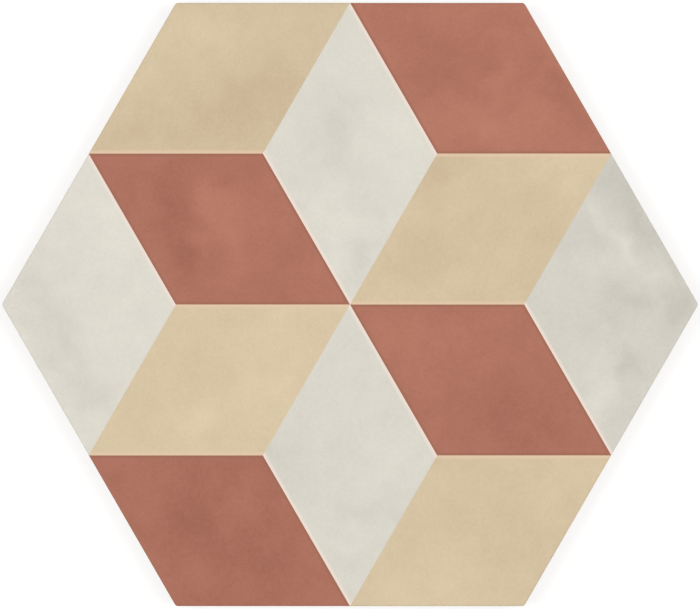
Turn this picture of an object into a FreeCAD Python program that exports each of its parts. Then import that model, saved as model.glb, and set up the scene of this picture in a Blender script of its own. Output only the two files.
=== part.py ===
# Hexagonal floor tile: one dry-pressed, fired porcelain piece with a keyed back.
#
# The tile lies face up on its back. Frame: the origin is the centre of the bedding plane,
# +Z points up to the glazed face, +X through two opposite corners and +Y square to two
# opposite sides. Every length is in millimetres and every angle in degrees.
import FreeCAD
import Part

import math
import os

# Overall size
ACROSS_FLATS = 230.0  # from one side to the opposite side, over the upright lands
THICKNESS = 9.0  # from the bedding plane to the glazed face
CORNER_RADIUS = 1.5  # rounding of the six corners, seen from above

# Side of the tile
FACE_EDGE_RADIUS = 0.8  # pressed rounding where the glaze turns over the edge
TAPER_HEIGHT = 3.2  # the side leans in below this height, so that the die lets go
TAPER_SETBACK = 0.7  # how far in the taper comes at the bedding plane
BACK_BEVEL = 0.5  # bevel round the back edge, the same on the taper and on the back

# Keyed back, which the adhesive grips
RIM_WIDTH = 7.0  # plain band from the taper's foot to the keyed field
KEY_DEPTH = 0.8  # depth of the pockets
KEY_DRAFT = 40.0  # lean of the pocket walls from upright
RIB_WIDTH = 2.4  # land left between two neighbouring pockets, at the bedding plane
POCKET_RINGS = 6  # rings of pockets round the middle one
POCKET_CORNER_CUT = 1.2  # length of wall that the flat across a pocket's corner takes

SIDES = 6
STEP = 2 * math.pi / SIDES  # angle from one side of a hexagon to the next, in radians
TO_SIDE = STEP / 2  # turn of the tile's first side from +X, which points at a corner
LEVEL = 1e-6  # two heights this close are the same height
NODE = "hexagon_tile"


def direction(turn):
    """Unit vector in the plane of the tile, turned by an angle in radians from +X."""
    return FreeCAD.Vector(math.cos(turn), math.sin(turn), 0)


def hexagon(apothem, first_side, centre):
    """Level outline of a regular hexagon, whose first side faces the angle first_side."""
    reach = apothem / math.cos(STEP / 2)
    turns = [first_side + (k - 0.5) * STEP for k in range(SIDES)]
    corners = [centre + direction(turn) * reach for turn in turns]
    return Part.makePolygon(corners + corners[:1])


def hollow(apothem, first_side, centre):
    """Hexagonal solid as deep as the key, to cut away, whose flat walls lean in as it deepens.

    Its mouth, of the given apothem, is in the bedding plane.
    """
    lean = KEY_DEPTH * math.tan(math.radians(KEY_DRAFT))
    mouth = hexagon(apothem, first_side, centre)
    floor = hexagon(apothem - lean, first_side, centre + FreeCAD.Vector(0, 0, KEY_DEPTH))
    faces = [Part.Face(mouth), Part.Face(floor)]
    for low, high in zip(mouth.Edges, floor.Edges):
        start, end = (vertex.Point for vertex in low.Vertexes)
        over_start, over_end = (vertex.Point for vertex in high.Vertexes)
        faces.append(Part.Face(Part.makePolygon([start, end, over_end, over_start, start])))
    return Part.Solid(Part.Shell(faces))


def upright_edges(solid):
    """The edges of a solid that run from one height to another."""
    return [e for e in solid.Edges if abs(e.Vertexes[0].Z - e.Vertexes[1].Z) > LEVEL]


def edges_at(solid, height):
    """The edges of a solid that lie in the level plane at a height."""
    return [e for e in solid.Edges if all(abs(v.Z - height) < LEVEL for v in e.Vertexes)]


def pressed_slab():
    """The tile before its back is keyed.

    A hexagonal prism with rounded corners gets the long lean of the die at the foot of its
    side, a small bevel round the back and the rounding that carries the glaze over its edge.
    """
    outline = hexagon(ACROSS_FLATS / 2, TO_SIDE, FreeCAD.Vector())
    slab = Part.Face(outline).extrude(FreeCAD.Vector(0, 0, THICKNESS))
    slab = slab.makeFillet(CORNER_RADIUS, upright_edges(slab))
    slab = slab.makeChamfer(TAPER_HEIGHT, TAPER_SETBACK, edges_at(slab, 0))
    slab = slab.makeChamfer(BACK_BEVEL, edges_at(slab, 0))
    return slab.makeFillet(FACE_EDGE_RADIUS, edges_at(slab, THICKNESS))


def pockets():
    """The pockets of the keyed back, as solids to cut away.

    They form a hexagonal array, and the outer ring is centred on the edge of the keyed
    field. There the rim halves its pockets, and leaves a third of the six at the corners.
    """
    field_apothem = ACROSS_FLATS / 2 - TAPER_SETBACK - RIM_WIDTH
    pitch = field_apothem / (POCKET_RINGS * math.cos(STEP / 2))
    field = hollow(field_apothem, TO_SIDE, FreeCAD.Vector())
    solids = []
    for i in range(-POCKET_RINGS, POCKET_RINGS + 1):
        for j in range(-POCKET_RINGS, POCKET_RINGS + 1):
            ring = max(abs(i), abs(j), abs(i + j))
            if ring > POCKET_RINGS:
                continue
            centre = (direction(0) * i + direction(STEP) * j) * pitch
            pocket = hollow((pitch - RIB_WIDTH) / 2, 0, centre)
            if ring == POCKET_RINGS:
                pocket = pocket.common(field).Solids[0]
            solids.append(pocket.makeChamfer(POCKET_CORNER_CUT, upright_edges(pocket)))
    return solids


def keyed(slab, hollows):
    """A slab with hollows sunk in its back.

    The back face gets a hole for the mouth of each hollow, and the walls and floors of the
    hollows are sewn to the edges of the holes, which makes one closed shell.
    """
    outside = [face for face in slab.Faces if face.BoundBox.ZMax > LEVEL]
    back = [face.OuterWire for face in slab.Faces if face.BoundBox.ZMax <= LEVEL]
    inside = []
    for solid in hollows:
        inside += [face for face in solid.Faces if face.BoundBox.ZMax > LEVEL]
        back += [face.OuterWire for face in solid.Faces if face.BoundBox.ZMax <= LEVEL]
    pierced_back = Part.makeFace(back, "Part::FaceMakerCheese")
    shell = Part.Shell(outside + inside + pierced_back.Faces)
    shell.sewShape()
    return Part.Solid(shell)


os.makedirs("parts", exist_ok=True)
tile = keyed(pressed_slab(), pockets())
tile.exportStep(os.path.join("parts", NODE + ".step"))
box = tile.BoundBox
print(
    f"{NODE}: {len(tile.Solids)} solid, {len(tile.Faces)} faces, valid {tile.isValid()},",
    f"{box.XLength:.2f} x {box.YLength:.2f} x {box.ZLength:.2f} mm, {tile.Volume / 1000:.1f} cm3",
)
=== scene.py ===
"""Hexagon floor tile, seen straight from above in a plain white studio.

The tile is dry-pressed porcelain with a tumbling-block print in cream, terracotta and pale grey.
It is one fired piece, so it is built as one closed surface: the printed face with its pressed
edge, the sides down to the back, and the keyed back. Sizes are in millimetres and turns in
degrees, unless a docstring says otherwise. The origin is the middle of the bedding plane, +Z
points up to the printed face and +X through two opposite corners.
"""

import sys

import logging
import math
from abc import ABC, abstractmethod
from dataclasses import dataclass
from enum import Enum, IntEnum
from functools import cached_property

import bpy
import numpy as np
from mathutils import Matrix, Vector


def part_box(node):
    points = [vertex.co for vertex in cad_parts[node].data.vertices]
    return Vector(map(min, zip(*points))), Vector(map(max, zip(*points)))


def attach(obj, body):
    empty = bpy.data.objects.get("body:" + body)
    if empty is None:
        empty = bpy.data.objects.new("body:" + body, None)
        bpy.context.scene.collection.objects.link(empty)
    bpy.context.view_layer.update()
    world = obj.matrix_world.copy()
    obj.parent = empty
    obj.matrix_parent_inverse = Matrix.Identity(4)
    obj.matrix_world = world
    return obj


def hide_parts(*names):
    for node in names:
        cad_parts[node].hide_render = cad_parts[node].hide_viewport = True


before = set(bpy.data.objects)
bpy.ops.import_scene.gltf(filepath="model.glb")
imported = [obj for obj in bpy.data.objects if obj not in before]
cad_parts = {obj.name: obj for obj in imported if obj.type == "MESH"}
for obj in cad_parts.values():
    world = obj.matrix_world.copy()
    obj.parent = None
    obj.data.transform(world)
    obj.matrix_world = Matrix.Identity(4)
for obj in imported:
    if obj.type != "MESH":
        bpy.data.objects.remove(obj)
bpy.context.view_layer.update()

log = logging.getLogger("hexagon_tile")

NODE = "hexagon_tile"
BODY = "root"
METRE = 1000.0  # millimetres in a metre
SIDES = 6
CORNER_TURN = 360 / SIDES  # turn from one corner to the next
SIDE_TURNS = CORNER_TURN * (np.arange(SIDES) + 0.5)  # turns of the directions that the sides face
COS_30 = math.cos(math.radians(30))  # a hexagon's apothem as a share of its reach to a corner
TINY = 1e-9  # more than any rounding error, in millimetres and in degrees
FAR = 50.0  # stands for "no border near"
WELD = 0.001  # side of the cubes whose points become one point
WELD_SHIFT = 0.317  # share of a side that keeps round sizes away from the cubes' faces
SHARP_ANGLE = 35.0  # edges that turn by more stay crisp
BARE_GLAZE_COLOUR = "#e9e0d0"  # warm white of the glaze with no print on it

Node = bpy.types.Node
Socket = bpy.types.NodeSocket
Value = Node | Socket | str | float | tuple[float, ...]  # what a node's input can get


def linear(colour: str) -> tuple[float, float, float, float]:
    """Turn an sRGB hex colour into linear light.

    Args:
        colour: six hex digits after a number sign.

    Returns:
        Linear red, green and blue, and an alpha of 1.
    """
    shares = [int(colour[i : i + 2], 16) / 255 for i in (1, 3, 5)]
    lit = [s / 12.92 if s <= 0.04045 else ((s + 0.055) / 1.055) ** 2.4 for s in shares]
    return lit[0], lit[1], lit[2], 1.0


def put_in_scene(data: bpy.types.ID) -> bpy.types.Object:
    """Put a mesh, light or camera into the scene, at the origin.

    Args:
        data: the mesh, light or camera.

    Returns:
        Its object, under the same name.
    """
    made = bpy.data.objects.new(data.name, data)
    bpy.context.scene.collection.objects.link(made)
    return made


def directions(turns: np.ndarray | float) -> np.ndarray:
    """Unit vectors in plan, the cosine along X and the sine along Y, for turns from +X."""
    angle = np.radians(np.asarray(turns, float))
    return np.stack([np.cos(angle), np.sin(angle)], axis=-1)


def turns_of(plan: np.ndarray) -> np.ndarray:
    """Turns from +X, from -180 to 180, of vectors in plan."""
    return np.degrees(np.arctan2(plan[..., 1], plan[..., 0]))


def lifted(plan: np.ndarray, height: np.ndarray | float) -> np.ndarray:
    """Points in plan with their height as a third coordinate, one point a row."""
    tall = np.broadcast_to(height, plan.shape[:-1])[..., None]
    return np.concatenate([plan, tall], axis=-1).reshape(-1, 3)


def grid_triangles(rows: int, columns: int, closed: bool = False) -> np.ndarray:
    """Triangles between the rows of a grid of points.

    Each cell is split from its first corner to the opposite one. The triangles face the side
    from which the way to the next row turns anticlockwise into the way along a row.

    Args:
        rows: number of rows.
        columns: number of points in a row.
        closed: whether the last column joins the first.

    Returns:
        Three point numbers a row.
    """
    index = np.arange(rows * columns).reshape(rows, columns)
    if closed:
        index = np.hstack([index, index[:, :1]])
    a, b, c, d = index[:-1, :-1], index[:-1, 1:], index[1:, 1:], index[1:, :-1]
    return np.stack([c, b, a, d, c, a], axis=-1).reshape(-1, 3)


def zipped(outer: np.ndarray, inner: np.ndarray) -> np.ndarray:
    """Triangles that close the gap between two rings of points, and face down.

    Both rings run anticlockwise round the origin from the same turn, and their numbers of
    points may differ. A step of the outer ring gets the inner point whose turn is nearest to
    its middle, and a step of the inner ring gets the outer point at which the nearest one
    changes.

    Args:
        outer: outer ring in plan, one point a row.
        inner: inner ring in plan, one point a row.

    Returns:
        Three point numbers a row, where the inner ring's numbers follow the outer ring's.
    """
    outer_turn, inner_turn = (
        np.append(np.mod(turns_of(ring) + TINY, 360), 360) for ring in (outer, inner)
    )
    n, m = len(outer), len(inner)
    outer_middle = (outer_turn[1:] + outer_turn[:-1]) / 2
    inner_middle = (inner_turn[1:] + inner_turn[:-1]) / 2
    nearest = np.searchsorted(inner_middle, outer_middle)
    change = np.searchsorted(outer_middle, inner_middle)
    step, side = np.arange(n), np.arange(m)
    to_inner = np.stack([(step + 1) % n, step, n + nearest % m], axis=-1)
    to_outer = np.stack([n + side, n + (side + 1) % m, change % n], axis=-1)
    return np.vstack([to_inner, to_outer])


def eased(corners: list[tuple[float, float]], radii: list[float], steps: int) -> np.ndarray:
    """Round the corners of a line, each by an arc that touches both of its runs.

    An arc of radius r between runs that turn by t starts r tan(t / 2) before the corner, and
    its points are the start plus r times the difference of the two run normals.

    Args:
        corners: the line's points, the two ends among them.
        radii: radius at each point between the ends.
        steps: number of chords in an arc.

    Returns:
        The rounded line, one point a row.
    """
    line = np.array(corners)
    run = np.diff(line, axis=0)
    run /= np.linalg.norm(run, axis=1, keepdims=True)
    heading = np.unwrap(np.arctan2(run[:, 1], run[:, 0]))
    start, turn = heading[:-1, None], np.diff(heading)[:, None]
    radius = np.array(radii)[:, None]
    first = line[1:-1] - run[:-1] * radius * np.abs(np.tan(turn / 2))
    angle = start + turn * np.linspace(0, 1, steps + 1)
    bow = np.stack([np.sin(angle) - np.sin(start), np.cos(start) - np.cos(angle)], axis=-1)
    arcs = first[:, None] + bow * (radius * np.sign(turn))[..., None]
    return np.vstack([line[:1], arcs.reshape(-1, 2), line[-1:]])


def clipped(corners: np.ndarray, normal: np.ndarray, reach: float) -> np.ndarray:
    """Part of a convex shape on the inner side of a line.

    Each side of the shape gives its first corner, if that lies inside, and the point where it
    crosses the line, if it does.

    Args:
        corners: corners of the shape in plan, anticlockwise.
        normal: direction in which the line faces outwards.
        reach: distance of the line from the origin.

    Returns:
        Corners of what is left, anticlockwise.
    """
    over = corners @ normal - reach
    after, over_after = np.roll(corners, -1, axis=0), np.roll(over, -1)
    crosses = over * over_after < 0
    share = over / np.where(crosses, over - over_after, 1.0)
    crossing = corners + (after - corners) * share[:, None]
    both = np.stack([corners, crossing], axis=1)
    return both[np.stack([over < 0, crosses], axis=1)]


@dataclass(frozen=True)
class Swell:
    """Slow, smooth unevenness in plan, the same on every run: a sum of seeded plane waves."""

    seed: int  # sets the turns and phases of the waves
    shortest: float  # length of the shortest wave
    longest: float  # length of the longest wave
    waves: int = 9  # number of waves, which all weigh the same

    def at(self, plan: np.ndarray) -> np.ndarray:
        """Mean of the waves' cosines.

        Args:
            plan: points in plan.

        Returns:
            Height of the swell at each point, from -1 to 1.
        """
        rng = np.random.default_rng(self.seed)
        length = np.geomspace(self.shortest, self.longest, self.waves)
        heading = directions(rng.uniform(0, 360, self.waves)) / length[:, None]
        phase = rng.uniform(0, 1, self.waves)
        return np.cos(2 * np.pi * (plan @ heading.T + phase)).mean(axis=-1)


class Finish(IntEnum):
    """Finishes of the tile's skin. The value is the material's number on the mesh."""

    CREAM = 0
    TERRACOTTA = 1
    PALE_GREY = 2
    BARE_GLAZE = 3
    FIRED_BODY = 4
    KEYED_BACK = 5


@dataclass
class Skin:
    """Part of the tile's surface. A single value counts for all of its triangles."""

    points: np.ndarray  # places, one a row
    triangles: np.ndarray  # three point numbers a row, anticlockwise as seen from outside
    finish: np.ndarray | int  # finish number of each triangle
    seed: np.ndarray | float = 0.0  # number that sets the clouds of each triangle's field apart
    tone: np.ndarray | float = 0.0  # how dark or light the print is at each triangle's corners
    border: np.ndarray | float = FAR  # how far those corners are from a border of terracotta

    def __post_init__(self) -> None:
        """Spread the single values over the triangles and their corners."""
        corners = self.triangles.shape
        self.finish = np.broadcast_to(self.finish, corners[0])
        self.seed = np.broadcast_to(self.seed, corners[0])
        self.tone = np.broadcast_to(self.tone, corners)
        self.border = np.broadcast_to(self.border, corners)

    @classmethod
    def joined(cls, parts: list["Skin"]) -> "Skin":
        """Join parts into one skin and weld the points that lie on each other.

        Triangles that have the same point twice are left out.

        Args:
            parts: skins whose edges have the same points where they meet.

        Returns:
            One skin with each point once.
        """
        shift = np.cumsum([0] + [len(part.points) for part in parts[:-1]])
        points = np.vstack([part.points for part in parts])
        triangles = np.vstack([part.triangles + s for part, s in zip(parts, shift)])
        cube = np.round(points / WELD + WELD_SHIFT)
        _, first, welded = np.unique(cube, axis=0, return_index=True, return_inverse=True)
        triangles = welded.reshape(-1)[triangles]
        kept = (triangles != np.roll(triangles, 1, axis=1)).all(axis=1)
        carried = [
            np.concatenate([getattr(part, name) for part in parts])[kept]
            for name in ("finish", "seed", "tone", "border")
        ]
        return cls(points[first], triangles[kept], *carried)

    def volume(self) -> float:
        """Enclosed volume in cubic centimetres: a sixth of the sum of triple products."""
        a, b, c = self.points[self.triangles.T]
        return float((a * np.cross(b, c)).sum() / 6 / METRE)

    def to_object(self, name: str) -> bpy.types.Object:
        """Make a Blender object of the skin, in metres, with smooth faces and crisp arrises.

        Args:
            name: the object's name.

        Returns:
            The object, in the scene, at the origin.
        """
        mesh = bpy.data.meshes.new(name)
        mesh.from_pydata((self.points / METRE).tolist(), [], self.triangles.tolist())
        mesh.polygons.foreach_set("material_index", self.finish.astype(np.int32))
        for layer, domain in (("tone", "CORNER"), ("border", "CORNER"), ("seed", "FACE")):
            values = mesh.attributes.new(layer, "FLOAT", domain).data
            values.foreach_set("value", getattr(self, layer).ravel().astype(np.float32))
        mesh.shade_smooth()
        mesh.set_sharp_from_angle(angle=math.radians(SHARP_ANGLE))
        return put_in_scene(mesh)


@dataclass(frozen=True)
class Plan:
    """The tile from above: a regular hexagon with a corner on +X and rounded corners."""

    apothem: float  # distance from the middle to a side
    thickness: float  # height of the face over the bedding plane
    corner_radius: float = 1.5
    edge_radius: float = 0.8  # rounding of the edge of the face
    turn_steps: int = 5  # steps of a field's grid over the rounding of the edge
    core_steps: int = 54  # steps of a field's grid between the roundings

    @classmethod
    def of_node(cls, node: str) -> "Plan":
        """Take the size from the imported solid, whose sides face +Y and -Y."""
        low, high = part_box(node)
        return cls(apothem=high.y * METRE, thickness=(high.z - low.z) * METRE)

    @property
    def side(self) -> float:
        """Length of a side between its sharp corners."""
        return 2 * self.apothem / math.sqrt(3)

    def inset(self, plan: np.ndarray) -> np.ndarray:
        """Distance of each point in plan from the nearest side, inwards."""
        return self.apothem - (plan @ directions(SIDE_TURNS).T).max(axis=-1)

    def corner_frame(self, plan: np.ndarray) -> tuple[np.ndarray, ...]:
        """Where points lie, seen from the centre of the nearest corner's rounding.

        Args:
            plan: points in plan.

        Returns:
            The centres, the offsets from them, their lengths, and whether they point into the
            wedge of 30 degrees on both sides of the corner, which is where the rounding acts.
        """
        outward = directions(np.round(turns_of(plan) / CORNER_TURN) * CORNER_TURN)
        centre = outward * (self.apothem - self.corner_radius) / COS_30
        offset = plan - centre
        length = np.linalg.norm(offset, axis=-1, keepdims=True)
        along = (offset * outward).sum(axis=-1, keepdims=True)
        wedge = (along > COS_30 * length - TINY) & (length > TINY)
        return centre, offset, np.where(wedge, length, 1.0), wedge

    def rounded(self, plan: np.ndarray) -> np.ndarray:
        """Bend the lines parallel to the sides into arcs round the corners.

        A point in a corner's wedge keeps its direction from the wedge's centre, and its
        distance becomes the distance to the nearest side's parallel through it.

        Args:
            plan: points in plan of the sharp hexagon.

        Returns:
            Their places in the rounded one.
        """
        centre, offset, length, wedge = self.corner_frame(plan)
        flat = self.apothem - self.corner_radius
        level = (self.apothem - self.inset(plan) - flat)[..., None]
        return np.where(wedge, centre + offset * (level / length), plan)

    def normals(self, plan: np.ndarray) -> np.ndarray:
        """Outward normals in plan: square to the side, and along the radius at a corner.

        Args:
            plan: points of the rounded outline.

        Returns:
            Unit vector at each point.
        """
        _, offset, length, wedge = self.corner_frame(plan)
        side = directions((np.floor(turns_of(plan) / CORNER_TURN) + 0.5) * CORNER_TURN)
        return np.where(wedge, offset / length, side)

    def steps(self) -> np.ndarray:
        """Shares of a field's side at which its grid has lines.

        Near both ends the lines stand where the edge rounding turns by equal angles, and
        between them they stand at equal distances.

        Returns:
            Rising shares from 0 to 1.
        """
        reach = self.edge_radius / COS_30
        turn = np.radians(np.linspace(90, 0, self.turn_steps + 1))
        end = reach * (1 - np.sin(turn)) / (self.side / 2)
        core = np.linspace(end[-1], 1 - end[-1], self.core_steps + 1)
        return np.concatenate([end[:-1], core, 1 - end[-2::-1]])

    def outline(self) -> np.ndarray:
        """The rounded outline, with the same points as the grids of the fields.

        Returns:
            Points in plan, one a row, anticlockwise from +X.
        """
        share = self.steps()
        share = np.concatenate([share[:-1] / 2, 0.5 + share[:-1] / 2])[:, None]
        corners = directions(CORNER_TURN * np.arange(SIDES + 1)) * self.side
        runs = [a + (b - a) * share for a, b in zip(corners[:-1], corners[1:])]
        return self.rounded(np.vstack(runs))


@dataclass(frozen=True)
class Stroke:
    """One soft cloud of the print: an oval that fades as a bell curve."""

    x: float  # place of its middle
    y: float
    length: float  # distance along it at which it has faded to about a third
    width: float  # the same across it
    turn: float  # direction of its length
    tone: float  # below 0 darker and above 0 lighter, where 1 is the full step

    def at(self, plan: np.ndarray) -> np.ndarray:
        """Tone times e to minus the squared shares of the way out along and across.

        Args:
            plan: points in plan.

        Returns:
            Tone of the stroke at each point.
        """
        away = plan - (self.x, self.y)
        along = away @ directions(self.turn) / self.length
        across = away @ directions(self.turn + 90) / self.width
        return self.tone * np.exp(-(along**2) - across**2)


# Columns and rows along the two sides of a field, anticlockwise round the blunt corner that it
# is drawn from.
LEANS = {
    Finish.CREAM: ((-1, 1), (2, 0)),
    Finish.TERRACOTTA: ((-2, 0), (1, 1)),
    Finish.PALE_GREY: ((-1, -1), (-1, 1)),
}


@dataclass(frozen=True)
class Field:
    """One rhombus of the print.

    Its places are on the lattice of the half sides: a column is a quarter of the tile's side
    to the right, and a row is half an apothem down.
    """

    ground: Finish
    column: int  # place of the blunt corner
    row: int
    level: float  # tone of the whole field, on the scale of the strokes
    strokes: tuple[Stroke, ...]  # the clouds that stand out in it

    @property
    def sides(self) -> np.ndarray:
        """Columns and rows along the two sides from the blunt corner."""
        return np.array(LEANS[self.ground])

    def side_middles(self) -> np.ndarray:
        """Middles of the sides: the two from the blunt corner, then those opposite each.

        Returns:
            Twice the column and row of each, which are whole numbers.
        """
        first, second = self.sides
        halves = np.array([first, second, first + 2 * second, second + 2 * first])
        return 2 * np.array([self.column, self.row]) + halves


FIELDS = (
    Field(Finish.CREAM, -2, -2, -0.19, (
        Stroke(-42, 79, 24, 9, 24, -0.36),
        Stroke(-50, 67, 24, 8, 8, -0.28),
        Stroke(-83, 65, 4, 3, 0, -0.2),
        Stroke(-52, 103, 30, 12, -5, 0.25),
        Stroke(-76, 87, 9, 8, 60, 0.15),
    )),
    Field(Finish.CREAM, 1, -1, 0.01, (
        Stroke(34, 51, 12, 7, 40, -0.55),
        Stroke(29, 21, 14, 10, 70, -0.25),
        Stroke(50, 49, 10, 8, 0, -0.12),
        Stroke(80, 47, 12, 12, 0, 0.12),
    )),
    Field(Finish.CREAM, -2, 0, 0.16, (
        Stroke(-57, -42, 8, 6, 20, 0.3),
        Stroke(-80, -50, 9, 8, 0, -0.15),
        Stroke(-36, -6, 12, 3, 0, -0.15),
        Stroke(-30, -31, 8, 8, 0, 0.1),
    )),
    Field(Finish.CREAM, 1, 1, 0.03, (
        Stroke(44, -84, 9, 8, 0, -0.2),
        Stroke(72, -92, 7, 5, 60, -0.15),
        Stroke(36, -65, 7, 5, 60, 0.15),
        Stroke(76, -74, 8, 6, 60, 0.15),
    )),
    Field(Finish.TERRACOTTA, 2, -2, 0.2, (
        Stroke(36, 89, 17, 10, 10, -0.45),
        Stroke(25, 103, 12, 9, 0, -0.2),
        Stroke(80, 84, 14, 5, -60, -0.35),
        Stroke(61, 108, 7, 6, 0, -0.25),
        Stroke(56, 85, 6, 5, 60, 0.5),
        Stroke(57, 99, 10, 4, 60, 0.2),
        Stroke(52, 70, 28, 9, 0, 0.5),
    )),
    Field(Finish.TERRACOTTA, -1, -1, -0.04, (
        Stroke(-66, 31, 22, 7, -80, -0.55),
        Stroke(-60, 15, 8, 7, 0, -0.45),
        Stroke(-41, 50, 6, 5, 0, -0.25),
        Stroke(-53, 38, 11, 6, 90, 0.4),
        Stroke(-44, 21, 17, 6, 90, 0.35),
        Stroke(-12, 13, 7, 6, 0, 0.1),
    )),
    Field(Finish.TERRACOTTA, 2, 0, 0.0, (
        Stroke(22, -19, 26, 14, -60, 0.25),
        Stroke(76, -54, 36, 19, -25, -0.3),
    )),
    Field(Finish.TERRACOTTA, -1, 1, -0.19, (
        Stroke(-57, -86, 14, 6, -60, -0.3),
        Stroke(-34, -97, 12, 6, -15, -0.35),
        Stroke(-40, -74, 10, 6, 70, 0.35),
        Stroke(-57, -105, 9, 7, 0, 0.2),
        Stroke(-67, -80, 7, 7, 0, -0.15),
        Stroke(-88, -67, 5, 5, 0, -0.2),
    )),
    Field(Finish.PALE_GREY, 1, -1, 0.24, (
        Stroke(-4, 67, 14, 6, -78, -0.35),
        Stroke(-11, 55, 6, 6, 0, -0.15),
        Stroke(9, 34, 6, 4, -20, -0.35),
        Stroke(4, 17, 10, 5, 60, -0.4),
        Stroke(-8, 36, 10, 8, -60, 0.2),
        Stroke(15, 70, 9, 7, 90, 0.1),
    )),
    Field(Finish.PALE_GREY, -2, 0, 0.2, (
        Stroke(-115, -6, 20, 9, -53, -0.55),
        Stroke(-98, -36, 8, 6, 30, -0.55),
        Stroke(-107, -23, 12, 6, -75, -0.35),
        Stroke(-90, 28, 18, 14, 70, 0.25),
    )),
    Field(Finish.PALE_GREY, 4, 0, -0.39, (
        Stroke(107, 37, 24, 6, -60, -0.62),
        Stroke(93, 36, 8, 3, -55, 0.4),
        Stroke(105, 22, 13, 2.8, -49, 0.6),
        Stroke(116, 12, 6, 2.5, -75, 0.5),
        Stroke(102, 12, 5, 3, 60, 0.3),
        Stroke(105, 4, 11, 7, 15, -0.55),
        Stroke(125, -2, 7, 5, 60, -0.5),
        Stroke(99, -8, 6, 5, 0, -0.25),
        Stroke(107, -23, 8, 3.5, 80, -0.65),
        Stroke(95, -34, 10, 7, 60, 0.65),
        Stroke(86, -21, 7, 6, 0, 0.15),
    )),
    Field(Finish.PALE_GREY, 1, 1, 0.04, (
        Stroke(-27, -59, 4, 4, 0, -0.3),
        Stroke(0, -57, 10, 8, 0, -0.15),
        Stroke(0, -80, 12, 4, 20, -0.3),
        Stroke(16, -80, 4, 3, 0, -0.25),
        Stroke(0, -92, 7, 3, 0, 0.25),
        Stroke(11, -59, 9, 7, 0, 0.1),
    )),
)


@dataclass(frozen=True)
class PrintedFace:
    """The walking face: twelve printed fields and the pressed edge that they run over."""

    plan: Plan
    fields: tuple[Field, ...] = FIELDS
    dip: float = 0.05  # how far the pressed face undulates below its highest places
    calm_edge: float = 8.0  # width of the level band along the sides
    drift: float = 4.0  # how far the clouds wander from the ovals that they are drawn as
    seed_step: float = 3.7  # how far apart two fields take their clouds from the noise

    def height(self, plan: np.ndarray) -> np.ndarray:
        """Height of the face over points of the sharp hexagon.

        Along the sides it is a quarter round: the edge radius times the square root of one
        less the squared share of the way out. Inside it is level, less a slow dip that fades
        in over the calm edge.

        Args:
            plan: points in plan.

        Returns:
            Height of each point.
        """
        radius = self.plan.edge_radius
        inset = self.plan.inset(plan)
        out = np.clip(1 - inset / radius, 0, 1)
        fade = np.clip((inset - radius) / self.calm_edge, 0, 1)
        fade = fade * fade * (3 - 2 * fade)
        dip = self.dip * (0.5 + 0.5 * Swell(seed=11, shortest=14, longest=70).at(plan))
        return self.plan.thickness - radius * (1 - np.sqrt(1 - out**2)) - dip * fade

    def tone(self, field: Field, plan: np.ndarray) -> np.ndarray:
        """Tone of the print: a field's level and its strokes, bent by two swells.

        Args:
            field: the field.
            plan: points in plan.

        Returns:
            Tone at each point.
        """
        wander = [Swell(seed, shortest=9, longest=45, waves=12).at(plan) for seed in (21, 22)]
        bent = plan + 2 * self.drift * np.stack(wander, axis=-1)
        return field.level + sum(stroke.at(bent) for stroke in field.strokes)

    def borders(self, number: int) -> np.ndarray:
        """Find the sides of a field on which terracotta meets another ground.

        Args:
            number: number of the field in the list.

        Returns:
            Whether each side is such a border, in the order of the side middles.
        """
        middles = np.array([field.side_middles() for field in self.fields])
        red = np.array([field.ground is Finish.TERRACOTTA for field in self.fields])
        shared = (middles[:, :, None] == middles[number]).all(axis=-1).any(axis=1)
        return (shared & (red != red[number])[:, None]).any(axis=0)

    def field_skin(self, number: int) -> Skin:
        """Skin of one field: its blunt corner plus shares of its two sides.

        Args:
            number: number of the field in the list.

        Returns:
            The skin, with the print's tone and the distance to borders of terracotta.
        """
        field = self.fields[number]
        lattice = np.array([self.plan.side / 4, -self.plan.apothem / 2])
        corner = np.array([field.column, field.row]) * lattice
        first, second = field.sides * lattice
        steps = self.plan.steps()
        along, across = np.meshgrid(steps, steps, indexing="ij")
        plan = corner + along[..., None] * first + across[..., None] * second
        width = self.plan.apothem / 2
        away = np.stack([across, along, 1 - across, 1 - along]) * width
        border = np.where(self.borders(number)[:, None, None], away, FAR).min(axis=0)
        triangles = grid_triangles(len(steps), len(steps))
        return Skin(
            lifted(self.plan.rounded(plan), self.height(plan)),
            triangles,
            finish=field.ground,
            seed=self.seed_step * (number + 1),
            tone=self.tone(field, plan).reshape(-1)[triangles],
            border=border.reshape(-1)[triangles],
        )

    def skins(self) -> list[Skin]:
        """Skins of all the fields."""
        return [self.field_skin(number) for number in range(len(self.fields))]


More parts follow.
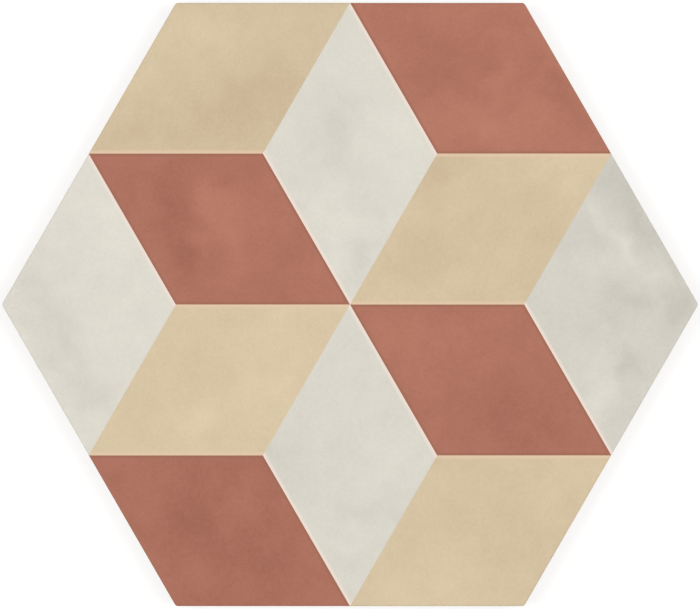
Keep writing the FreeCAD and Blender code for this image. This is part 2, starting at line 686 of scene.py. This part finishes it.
@dataclass(frozen=True)
class PressedSide:
    """The sides: glaze that runs down to a wavering line, bare body, and the die's long lean."""

    plan: Plan
    glaze_foot: float = 7.1  # mean height at which the glaze ends
    glaze_waver: float = 0.5  # how far that line wanders up and down
    glaze_build: float = 0.05  # how far the glaze stands proud of the body
    glaze_lip: float = 0.12  # height over which it thins out to its foot
    lip_turn: tuple[float, float] = (0.015, 0.05)  # setback and height over the foot where it curls
    bare_margin: float = 0.3  # height from the body's first level row to the lowest glaze
    taper_height: float = 3.2  # height below which the side leans in
    taper_setback: float = 0.7  # how far in the lean comes at the bedding plane
    taper_ease: float = 2.0  # radius between the upright and the leaning part
    back_bevel: float = 0.5  # bevel round the back, measured along the taper and along the back
    ease: float = 0.25  # radius that the bevel's arrises are worn to in the kiln
    back_margin: float = 0.15  # level band that the sides take with them on the back

    @property
    def back_inset(self) -> float:
        """Distance of the inner edge of the sides' part of the back from the outline."""
        return self.taper_setback + self.back_bevel + self.back_margin

    def profile(self) -> tuple[np.ndarray, int]:
        """Section through the side, from the foot of the face's rounding to the back.

        Returns:
            Inset and height, one point a row, and the number of rows down to the glaze's foot.
        """
        lean = math.atan2(self.taper_setback, self.taper_height)
        build, foot, bevel = self.glaze_build, self.glaze_foot, self.back_bevel
        lip = [
            (0, self.plan.thickness - self.plan.edge_radius),
            (0, foot + self.glaze_lip),
            (self.lip_turn[0], foot + self.lip_turn[1]),
            (build, foot),
        ]
        body = eased(
            [
                (build, foot - self.glaze_waver - self.bare_margin),
                (build, self.taper_height),
                (self.taper_setback - bevel * math.sin(lean), bevel * math.cos(lean)),
                (self.taper_setback + bevel, 0),
                (self.back_inset, 0),
            ],
            radii=[self.taper_ease, self.ease, self.ease],
            steps=3,
        )
        return np.vstack([lip, body]), len(lip)

    def foot_line(self, count: int) -> np.ndarray:
        """How far the glaze's foot is off its mean height at each point of the outline.

        It is a sum of seeded sines of the way round, each with a whole number of waves.

        Args:
            count: number of points.

        Returns:
            Height over the mean of each point.
        """
        rng = np.random.default_rng(seed=31)
        waves = rng.integers(low=5, high=130, size=24)
        phase = rng.uniform(0, 1, waves.size)
        way = np.linspace(0, 1, count, endpoint=False)[:, None]
        wave = np.sin(2 * np.pi * (way * waves + phase)) @ (1 / np.sqrt(waves))
        return self.glaze_waver * wave / np.abs(wave).max()

    def skins(self) -> list[Skin]:
        """The profile carried along the outline, square to it.

        Returns:
            One skin with glaze, bare body and a narrow band of the back.
        """
        outline = self.plan.outline()
        profile, glazed = self.profile()
        place = outline - profile[:, :1, None] * self.plan.normals(outline)
        height = np.repeat(profile[:, 1:], len(outline), axis=1)
        height[1:glazed] += self.foot_line(len(outline))
        triangles = grid_triangles(len(profile), len(outline), closed=True)
        row = np.repeat(np.arange(len(profile) - 1), 2 * len(outline))
        finish = np.full(len(triangles), Finish.FIRED_BODY)
        finish[row < glazed - 1] = Finish.BARE_GLAZE
        finish[row == row[-1]] = Finish.KEYED_BACK
        return [Skin(lifted(place, height), triangles, finish)]


@dataclass(frozen=True)
class KeyedBack:
    """The back: a level rim round a honeycomb of shallow pockets that the adhesive grips.

    The pockets' cells fill a hexagon without gaps. Those on its sides are halved by the rim,
    and a third of the one at each corner is left.
    """

    side: PressedSide  # the rim joins its inner edge on the back
    rim_width: float = 7.0  # level band from the taper's foot to the pockets
    key_depth: float = 0.8  # depth of the pockets
    key_draft: float = 40.0  # lean of the pocket walls from upright
    rib_width: float = 2.4  # level band between two pockets
    rings: int = 6  # rings of pockets round the middle one
    corner_reach: float = 3.28  # how far in from the cell's corner its rounding is centred
    shoulder: float = 0.25  # radius between the rib and the wall
    foot: float = 0.35  # radius between the wall and the floor of the pocket
    floor_inset: float = 2.4  # inset from which the floor is closed to its middle
    arc_steps: int = 3  # chords in a rounding, in plan and in the section

    @property
    def field_apothem(self) -> float:
        """Distance from the middle to the side of the field of pockets."""
        return self.side.plan.apothem - self.side.taper_setback - self.rim_width

    @property
    def pitch(self) -> float:
        """Distance between the middles of two pockets."""
        return self.field_apothem / (self.rings * COS_30)

    def profile(self) -> np.ndarray:
        """Section through a pocket's wall, from the mouth to the floor.

        Returns:
            Inset from the cell's outline and height, one point a row.
        """
        mouth, depth = self.rib_width / 2, self.key_depth
        lean = depth * math.tan(math.radians(self.key_draft))
        corners = [(0, 0), (mouth, 0), (mouth + lean, depth), (self.floor_inset, depth)]
        return eased(corners, radii=[self.shoulder, self.foot], steps=self.arc_steps)[1:]

    def cells(self) -> list[np.ndarray]:
        """Outlines of the cells: hexagons round a lattice of equilateral triangles.

        Those on the sides and the corners of the field end half a rib beyond its sides.

        Returns:
            Corners of each cell in plan, anticlockwise.
        """
        step = np.arange(-self.rings, self.rings + 1)
        i, j = (axis.ravel() for axis in np.meshgrid(step, step, indexing="ij"))
        ways = directions(CORNER_TURN * np.arange(2))
        middles = self.pitch * (i[:, None] * ways[0] + j[:, None] * ways[1])
        normals = directions(SIDE_TURNS)
        cells = []
        for middle in middles[np.abs(i + j) <= self.rings]:
            cell = middle + normals * self.pitch / math.sqrt(3)
            for normal in normals:
                cell = clipped(cell, normal, self.field_apothem + self.rib_width / 2)
            cells.append(cell)
        return cells

    def cell_skin(self, corners: np.ndarray) -> Skin:
        """Skin of one cell, from its outline over the pocket's wall to the floor's middle.

        A ring at inset s is the cell's outline moved in by s, and its corners are arcs round
        the point at the corner reach along the corner's mitre, with the reach less s as
        their radius. The rings follow the section of the wall. The outline before them and
        the middle after them repeat a point as often as the grid needs.

        Args:
            corners: corners of the cell in plan, anticlockwise.

        Returns:
            The skin.
        """
        heading = turns_of(np.roll(corners, -1, axis=0) - corners) - 90
        before = np.roll(heading, 1)
        turn = np.mod(heading - before, 360)
        mitre = directions(before + turn / 2) / np.cos(np.radians(turn / 2))[:, None]
        centre = corners - self.corner_reach * mitre
        swing = before[:, None] + turn[:, None] * np.linspace(0, 1, self.arc_steps + 1)
        inset, height = self.profile().T
        radius = (self.corner_reach - inset)[:, None, None, None]
        rings = (centre[:, None] + radius * directions(swing)).reshape(len(inset), -1, 2)
        outline = np.repeat(corners, self.arc_steps + 1, axis=0)
        middle = np.broadcast_to(centre.mean(axis=0), outline.shape)
        plan = np.stack([outline, *rings, middle])
        points = lifted(plan, np.concatenate([[0], height, [self.key_depth]])[:, None])
        return Skin(points, grid_triangles(*plan.shape[:2], closed=True), Finish.KEYED_BACK)

    def rim_skin(self) -> Skin:
        """Skin of the rim, between the sides and the outline of the cells.

        Returns:
            The skin, with the sides' points on one edge and the cells' corners on the other.
        """
        plan = self.side.plan
        outline = plan.outline()
        outer = outline - self.side.back_inset * plan.normals(outline)
        reach = self.field_apothem + self.rib_width / 2
        crossing = (np.arange(self.rings) + 0.5) * self.pitch - self.rings * self.pitch / 2
        along = np.concatenate([[-reach / math.sqrt(3)], crossing])
        inner = np.vstack([
            reach * directions(turn) + along[:, None] * directions(turn + 90)
            for turn in SIDE_TURNS
        ])
        points = lifted(np.vstack([outer, inner]), 0.0)
        return Skin(points, zipped(outer, inner), Finish.KEYED_BACK)

    def skins(self) -> list[Skin]:
        """Skins of the rim and of all the cells."""
        return [self.rim_skin(), *map(self.cell_skin, self.cells())]


@dataclass
class Canvas:
    """The node tree of a material or a world, which starts empty. Its nodes work in metres."""

    owner: bpy.types.Material | bpy.types.World

    def __post_init__(self) -> None:
        """Empty the tree."""
        self.owner.use_nodes = True
        self.owner.node_tree.nodes.clear()

    def add(
        self, kind: str, inputs: dict[str | int, Value] | None = None, **settings: str | bool
    ) -> Node:
        """Add a node with its settings and links.

        Args:
            kind: the node's type, without the words ShaderNode.
            inputs: name or number of an input in use, and what it gets: a value, a hex colour,
                another node's output, or another node, which stands for its first output in
                use.
            settings: properties of the node, such as its operation.

        Returns:
            The new node.
        """
        tree = self.owner.node_tree
        node = tree.nodes.new("ShaderNode" + kind)
        for name, setting in settings.items():
            setattr(node, name, setting)
        in_use = [entry for entry in node.inputs if entry.enabled]
        names = [entry.name for entry in in_use]
        for key, value in (inputs or {}).items():
            entry = in_use[key if isinstance(key, int) else names.index(key)]
            if isinstance(value, Node):
                value = next(output for output in value.outputs if output.enabled)
            if isinstance(value, Socket):
                tree.links.new(value, entry)
            else:
                entry.default_value = linear(value) if isinstance(value, str) else value
        return node

    @cached_property
    def place(self) -> Socket:
        """The place on the piece: its Object coordinates, from a node that is added once."""
        return self.add("TexCoord").outputs["Object"]

    def ramp(self, span: tuple[float, float], ends: tuple[float, float] = (0.0, 1.0)) -> Node:
        """Add a ramp over the height above the bedding plane, level beyond its span.

        Args:
            span: the heights between which it runs, in millimetres.
            ends: its values at them.

        Returns:
            Node with the ramp.
        """
        height = self.add("SeparateXYZ", {"Vector": self.place}).outputs["Z"]
        (low, high), (start, end) = span, ends
        return self.add(
            "MapRange",
            {"Value": height, "From Min": low / METRE, "From Max": high / METRE,
             "To Min": start, "To Max": end},
        )


@dataclass(frozen=True)
class Ceramic(ABC):
    """Fired ceramic, glazed or not: a dielectric whose gloss is soft or missing."""

    name: str  # name of the material

    @abstractmethod
    def look(self, on: Canvas) -> dict[str, Value]:
        """Add the nodes that make the finish what it is.

        Args:
            on: the material's canvas.

        Returns:
            What the shader's inputs get.
        """

    def material(self) -> bpy.types.Material:
        """Build the material, with the IOR that silicate glass and porcelain have.

        Returns:
            The material.
        """
        made = bpy.data.materials.new(self.name)
        on = Canvas(made)
        shader = on.add("BsdfPrincipled", {"IOR": 1.5} | self.look(on))
        on.add("OutputMaterial", {"Surface": shader})
        return made


@dataclass(frozen=True)
class MattGlaze(Ceramic):
    """Satin-matt porcelain glaze: crystals of 0.7 mm on ripples of 5 mm.

    The crystals of a real matt glaze are a tenth of that, which is too fine to show.
    """

    def surface(self, on: Canvas) -> Node:
        """Add the glaze's fine relief.

        Args:
            on: the material's canvas.

        Returns:
            Node with the bumped normal.
        """
        crystals = on.add("TexNoise", {"Vector": on.place, "Scale": METRE / 0.7, "Detail": 2.0})
        ripples = on.add("TexNoise", {"Vector": on.place, "Scale": METRE / 5.0, "Detail": 1.0})
        rough = on.add("Bump", {"Height": crystals, "Strength": 0.5, "Distance": 0.012 / METRE})
        return on.add(
            "Bump",
            {"Height": ripples, "Strength": 0.5, "Distance": 0.03 / METRE, "Normal": rough},
        )


@dataclass(frozen=True)
class PrintedGlaze(MattGlaze):
    """Matt glaze with an inkjet print, fired once with the body.

    The print imitates cast cement: its tone drifts in clouds of a few centimetres, breaks up
    into smaller mottles, and has the fine grain of the inks. The glaze on it has no clear
    reflection, only a soft sheen that is a little stronger in the dark clouds.
    """

    dark: str  # colour of the print at tone -1
    light: str  # colour of the print at tone 1
    seam: str  # colour that the print has where it meets terracotta, or terracotta meets it
    seam_share: float  # how much of the seam's colour shows
    seam_width: float  # distance over which it fades out
    roughness: tuple[float, float] = (0.5, 0.6)  # in the dark clouds, and in the light ones
    print_edge: tuple[float, float] = (8.22, 8.55)  # heights between which the print comes up

    # Size, detail, and gain on the tone of each layer of noise: clouds, mottles, grain as that
    # of trowelled cement, and dots of ink, which are 0.1 mm in a print and too fine to show.
    layers: tuple[tuple[float, float, float], ...] = (
        (45.0, 4.0, 1.2), (9.0, 3.0, 0.75), (1.5, 2.0, 0.6), (0.35, 2.0, 1.3),
    )

    def look(self, on: Canvas) -> dict[str, Value]:
        """Lay the print on the glaze.

        Args:
            on: the material's canvas.

        Returns:
            What the shader's inputs get.
        """
        tone = self.add_tone(on)
        share = on.add("MapRange", {"Value": tone, "From Min": -1.0, "From Max": 1.0}, clamp=False)
        ground = on.add(
            "Mix",
            {"Factor": share, "A": self.dark, "B": self.light},
            data_type="RGBA",
            clamp_factor=False,
        )
        cover, printed = on.ramp(self.print_edge), self.add_bleed(on, ground)
        colour = on.add(
            "Mix", {"Factor": cover, "A": BARE_GLAZE_COLOUR, "B": printed}, data_type="RGBA"
        )
        dark, light = self.roughness
        roughness = on.add("MapRange", {"Value": share, "To Min": dark, "To Max": light})
        return {"Base Color": colour, "Roughness": roughness, "Normal": self.surface(on)}

    def add_tone(self, on: Canvas) -> Node:
        """Add layers of noise to the tone that is drawn on the mesh, and the painted shade of
        pinholes.

        The pinholes are darker specks of 0.5 mm, about one to a square of 7 mm: painted shade of
        the holes.

        Args:
            on: the material's canvas.

        Returns:
            Node with the tone of the print.
        """
        tone, seed = (
            on.add("Attribute", attribute_name=name).outputs["Fac"] for name in ("tone", "seed")
        )
        for size, detail, gain in self.layers:
            noise = on.add(
                "TexNoise",
                {"Vector": on.place, "W": seed, "Scale": METRE / size, "Detail": detail,
                 "Distortion": 0.4},
                noise_dimensions="4D",
            )
            centred = on.add("Math", {0: noise, 1: -0.5}, operation="ADD")
            tone = on.add("Math", {0: centred, 1: gain, 2: tone}, operation="MULTIPLY_ADD")
        # Painted shade: darker specks where pinholes would hold shade, as the holes themselves are
        # not modelled.
        middles = on.add("TexVoronoi", {"Vector": on.place, "Scale": METRE / 7})
        pinhole_painted_shade = on.add(
            "MapRange",
            {"Value": middles, "From Min": 0.025, "From Max": 0.045,
             "To Min": -0.45, "To Max": 0.0},
            interpolation_type="SMOOTHSTEP",
        )
        return on.add("Math", {0: tone, 1: pinhole_painted_shade}, operation="ADD")

    def add_bleed(self, on: Canvas, ground: Node) -> Node:
        """Let two grounds bleed into each other by a dot or two of ink where terracotta ends.

        Args:
            on: the material's canvas.
            ground: node with the colour of the ground.

        Returns:
            Node with the colour of the print.
        """
        border = on.add("Attribute", attribute_name="border").outputs["Fac"]
        bleed = on.add(
            "MapRange",
            {"Value": border, "From Min": 0.3 * self.seam_width, "From Max": self.seam_width,
             "To Min": self.seam_share, "To Max": 0.0},
            interpolation_type="SMOOTHSTEP",
        )
        return on.add("Mix", {"Factor": bleed, "A": ground, "B": self.seam}, data_type="RGBA")


@dataclass(frozen=True)
class BareGlaze(MattGlaze):
    """Matt glaze with no print on it, warm white, where it runs down the sides.

    It is thinner towards its foot, so the body shows through in places.
    """

    thick: str = BARE_GLAZE_COLOUR  # colour where the glaze lies thick
    thin: str = "#dccfba"  # colour where the body shows through
    thinning: tuple[float, float] = (6.6, 8.2)  # heights between which it comes up to full

    def look(self, on: Canvas) -> dict[str, Value]:
        """Thin the glaze out in patches of 2.5 mm.

        Args:
            on: the material's canvas.

        Returns:
            What the shader's inputs get.
        """
        patches = on.add("TexNoise", {"Vector": on.place, "Scale": METRE / 2.5, "Detail": 3.0})
        lowness = on.ramp(self.thinning, ends=(1.0, 0.0))
        thinness = on.add("Math", {0: patches, 1: lowness}, operation="MULTIPLY", use_clamp=True)
        colour = on.add(
            "Mix", {"Factor": thinness, "A": self.thick, "B": self.thin}, data_type="RGBA"
        )
        return {"Base Color": colour, "Roughness": 0.55, "Normal": self.surface(on)}


class Coat(Enum):
    """What lies on the bare body."""

    OVERSPRAY = "specks of glaze that settled on the sides"
    KILN_WASH = "roller coat of white refractory wash on the back"


@dataclass(frozen=True)
class FiredBody(Ceramic):
    """Vitrified porcelain body as it comes out of the die and the kiln, with no glaze.

    The spray-dried granules show as a fine speckle, and the die leaves faint upright drags
    on the sides. Specks of glaze settle on the sides, thickest next to the glaze itself. On
    the back, the ribs and the rim carry a roller coat of white kiln wash, worn thin in
    patches.
    """

    coat: Coat
    body: str = "#dbcdb9"  # mean colour of the body
    dark: str = "#ab9782"  # colour of its darker granules
    wash: str = "#ebe7dd"  # colour of the kiln wash
    overspray_rise: tuple[float, float] = (2.5, 7.2)  # heights between which specks grow frequent
    wash_end: tuple[float, float] = (0.04, 0.22)  # heights between which the wash ends

    def look(self, on: Canvas) -> dict[str, Value]:
        """Speckle the body with granules of 0.45 mm and drag it 0.5 mm apart up the sides.

        Args:
            on: the material's canvas.

        Returns:
            What the shader's inputs get.
        """
        tint = on.add("TexNoise", {"Vector": on.place, "Scale": METRE / 18, "Detail": 4.0})
        granules = on.add("TexNoise", {"Vector": on.place, "Scale": METRE / 0.45, "Detail": 2.0})
        darkest = on.add(
            "MapRange", {"Value": granules, "From Min": 0.55, "From Max": 0.75, "To Max": 0.45}
        )
        darkness = on.add("Math", {0: tint, 1: 0.35, 2: darkest}, operation="MULTIPLY_ADD")
        colour = on.add(
            "Mix", {"Factor": darkness, "A": self.body, "B": self.dark}, data_type="RGBA"
        )
        upright = on.add("Mapping", {"Vector": on.place, "Scale": (1.0, 1.0, 0.06)})
        drags = on.add("TexNoise", {"Vector": upright, "Scale": METRE / 0.5, "Detail": 2.0})
        dragged = on.add("Bump", {"Height": drags, "Strength": 0.5, "Distance": 0.03 / METRE})
        surface = on.add(
            "Bump",
            {"Height": granules, "Strength": 0.7, "Distance": 0.04 / METRE, "Normal": dragged},
        )
        add_coat = self.add_wash if self.coat is Coat.KILN_WASH else self.add_overspray
        cover, coat = add_coat(on)
        coated = on.add("Mix", {"Factor": cover, "A": colour, "B": coat}, data_type="RGBA")
        return {"Base Color": coated, "Roughness": 0.8, "Normal": surface}

    def add_overspray(self, on: Canvas) -> tuple[Node, str]:
        """Settle specks of glaze of about 0.5 mm on the body, fewer the lower they are.

        Args:
            on: the material's canvas.

        Returns:
            Node with the share that the glaze covers, and the glaze's colour.
        """
        specks = on.add("TexNoise", {"Vector": on.place, "Scale": METRE / 0.5, "Detail": 3.0})
        closeness = on.ramp(self.overspray_rise, ends=(-0.16, 0.14))
        reached = on.add("Math", {0: specks, 1: closeness}, operation="ADD")
        cover = on.add(
            "MapRange", {"Value": reached, "From Min": 0.57, "From Max": 0.68, "To Max": 0.7}
        )
        return cover, BARE_GLAZE_COLOUR

    def add_wash(self, on: Canvas) -> tuple[Node, str]:
        """Roll kiln wash over what lies lowest, and wear it in patches of about 9 mm.

        Args:
            on: the material's canvas.

        Returns:
            Node with the share that the wash covers, and the wash's colour.
        """
        patches = on.add(
            "TexNoise", {"Vector": on.place, "Scale": METRE / 9, "Detail": 6.0, "Roughness": 0.65}
        )
        worn = on.add(
            "MapRange",
            {"Value": patches, "From Min": 0.36, "From Max": 0.56, "To Min": 0.15, "To Max": 0.9},
        )
        reached = on.ramp(self.wash_end, ends=(1.0, 0.0))
        return on.add("Math", {0: worn, 1: reached}, operation="MULTIPLY"), self.wash


FINISHES = {
    Finish.CREAM: PrintedGlaze(
        "cream_printed_glaze", dark="#bfa988", light="#deccaa", seam="#dfc2a4",
        seam_share=0.8, seam_width=1.7,
    ),
    Finish.TERRACOTTA: PrintedGlaze(
        "terracotta_printed_glaze", dark="#90513b", light="#b77660", seam="#905a42",
        seam_share=0.65, seam_width=1.4,
    ),
    Finish.PALE_GREY: PrintedGlaze(
        "pale_grey_printed_glaze", dark="#c2beb3", light="#e3dfd3", seam="#eedbcf",
        seam_share=0.8, seam_width=1.7,
    ),
    Finish.BARE_GLAZE: BareGlaze("unprinted_matt_glaze"),
    Finish.FIRED_BODY: FiredBody("fired_porcelain_side", Coat.OVERSPRAY),
    Finish.KEYED_BACK: FiredBody("fired_porcelain_back", Coat.KILN_WASH),
}


@dataclass
class FloorTile:
    """The whole tile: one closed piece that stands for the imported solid."""

    plan: Plan
    name: str = "glazed_hexagon_tile"

    def build(self) -> bpy.types.Object:
        """Join the face, the sides and the back into one piece.

        Returns:
            The piece.
        """
        side = PressedSide(self.plan)
        parts = [PrintedFace(self.plan), side, KeyedBack(side)]
        skin = Skin.joined([skin for part in parts for skin in part.skins()])
        log.info(
            "%s: %d points, %d triangles, %.1f cm3",
            self.name, len(skin.points), len(skin.triangles), skin.volume(),
        )
        return skin.to_object(self.name)

    def dress(self, piece: bpy.types.Object) -> None:
        """Give the piece its finishes, in the order of their numbers.

        Args:
            piece: the piece.
        """
        for finish in Finish:
            piece.data.materials.append(FINISHES[finish].material())
            log.info("%s: finish %s", self.name, FINISHES[finish].name)

    def make(self) -> bpy.types.Object:
        """Build and dress the piece and tie it to the frame.

        Returns:
            The piece.
        """
        piece = self.build()
        self.dress(piece)
        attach(piece, BODY)
        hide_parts(NODE)
        return piece


@dataclass
class Studio:
    """White table, even light from all round and two soft boxes, and the camera, in metres."""

    face_height: float  # height of the tile's face
    lens: float = 150.0  # focal length of the camera in millimetres
    sensor: float = 36.0  # width of the camera's sensor in millimetres
    view_width: float = 0.2667  # width that the camera sees at the height of the face
    sky: float = 0.5  # strength of the light from all round
    box_power: float = 11.0  # power of each soft box in watts
    box_reach: float = 1.7  # distance of the soft boxes from the tile
    box_size: float = 1.1  # side of the soft boxes
    box_rise: float = 50.0  # elevation of the soft boxes in degrees
    table_reach: float = 1.3  # distance from the middle to a side of the table
    table_drop: float = 0.00005  # gap that keeps the table's surface out of the tile's back
    shadow_fade: tuple[float, float] = (0.18, 0.4)  # where the shadow fades, from the middle

    def place_camera(self) -> None:
        """Hang the camera over the middle of the tile, with +Y up in the picture."""
        data = bpy.data.cameras.new("overhead_camera")
        data.lens = self.lens
        data.sensor_width = self.sensor
        camera = put_in_scene(data)
        camera.location = (0.0, 0.0, self.face_height + self.view_width * self.lens / self.sensor)
        bpy.context.scene.camera = camera

    def seen(self, on: Canvas) -> Socket | Node:
        """Add a mask of the rays that show the background: camera, glossy, transmission.

        Args:
            on: canvas of the table or the world.

        Returns:
            What gives 1 for such a ray and 0 for the others.
        """
        path = on.add("LightPath").outputs
        mask = path["Is Camera Ray"]
        for ray in ("Is Glossy Ray", "Is Transmission Ray"):
            mask = on.add("Math", {0: mask, 1: path[ray]}, operation="MAXIMUM")
        return mask

    def light_sky(self) -> None:
        """Light the scene from all round, with a background that shows white."""
        world = bpy.data.worlds.new("white_surround")
        on = Canvas(world)
        strength = on.add("MapRange", {"Value": self.seen(on), "To Min": self.sky, "To Max": 1.0})
        sky = on.add("Background", {"Color": "#ffffff", "Strength": strength})
        on.add("OutputWorld", {"Surface": sky})
        bpy.context.scene.world = world

    def hang_boxes(self) -> None:
        """Hang a soft box on the left and one on the right, both aimed at the tile."""
        rise = math.radians(self.box_rise)
        for side, name in ((-1, "soft_box_left"), (1, "soft_box_right")):
            data = bpy.data.lights.new(name, "AREA")
            data.shape = "SQUARE"
            data.size = self.box_size
            data.energy = self.box_power
            box = put_in_scene(data)
            box.location = (
                side * self.box_reach * math.cos(rise), 0.0, self.box_reach * math.sin(rise)
            )
            box.rotation_euler = (0.0, side * (math.pi / 2 - rise), 0.0)

    def table_material(self) -> bpy.types.Material:
        """Matt white paint that shows white, apart from the tile's shadow close to the tile.

        Half of what shows is lit, so it takes the shadow, and half is lifted to white. Rays
        that don't show the background meet plain matt white, which lights the tile's sides.

        Returns:
            The material.
        """
        made = bpy.data.materials.new("matt_white_table")
        on = Canvas(made)
        matt = on.add("BsdfDiffuse", {"Color": "#e7e7e7"})
        lit = on.add("BsdfDiffuse", {"Color": "#bcbcbc"})
        lift = on.add("Emission", {"Strength": 0.55})
        shaded = on.add("AddShader", {0: lit, 1: lift})
        white = on.add("Emission", {"Strength": 1.0})
        away = on.add("VectorMath", {"Vector": on.place}, operation="LENGTH")
        near, far = self.shadow_fade
        farness = on.add(
            "MapRange",
            {"Value": away, "From Min": near, "From Max": far},
            interpolation_type="SMOOTHSTEP",
        )
        faded = on.add("MixShader", {0: farness, 1: shaded, 2: white})
        shader = on.add("MixShader", {0: self.seen(on), 1: matt, 2: faded})
        on.add("OutputMaterial", {"Surface": shader})
        return made

    def lay_table(self) -> bpy.types.Object:
        """Lay a matt white table under the tile, which keeps the tile's shadow.

        Returns:
            The table.
        """
        lines = np.linspace(-self.table_reach, self.table_reach, 9)
        plan = np.stack(np.meshgrid(lines, lines, indexing="ij"), axis=-1)
        triangles = grid_triangles(len(lines), len(lines))
        mesh = bpy.data.meshes.new("white_table")
        mesh.from_pydata(lifted(plan, -self.table_drop).tolist(), [], triangles.tolist())
        mesh.materials.append(self.table_material())
        table = put_in_scene(mesh)
        return table

    def make(self) -> None:
        """Set up the camera, the light and the table."""
        self.place_camera()
        self.light_sky()
        self.hang_boxes()
        self.lay_table()
        bpy.context.scene.view_settings.view_transform = "Standard"
        log.info("studio: camera, white surround, two soft boxes and a white table")


def main() -> None:
    """Build the tile and the studio, and report each."""
    logging.basicConfig(level=logging.INFO, format="%(name)s: %(message)s", stream=sys.stdout)
    plan = Plan.of_node(NODE)
    FloorTile(plan).make()
    Studio(face_height=plan.thickness / METRE).make()


if __name__ == "__main__":
    main()
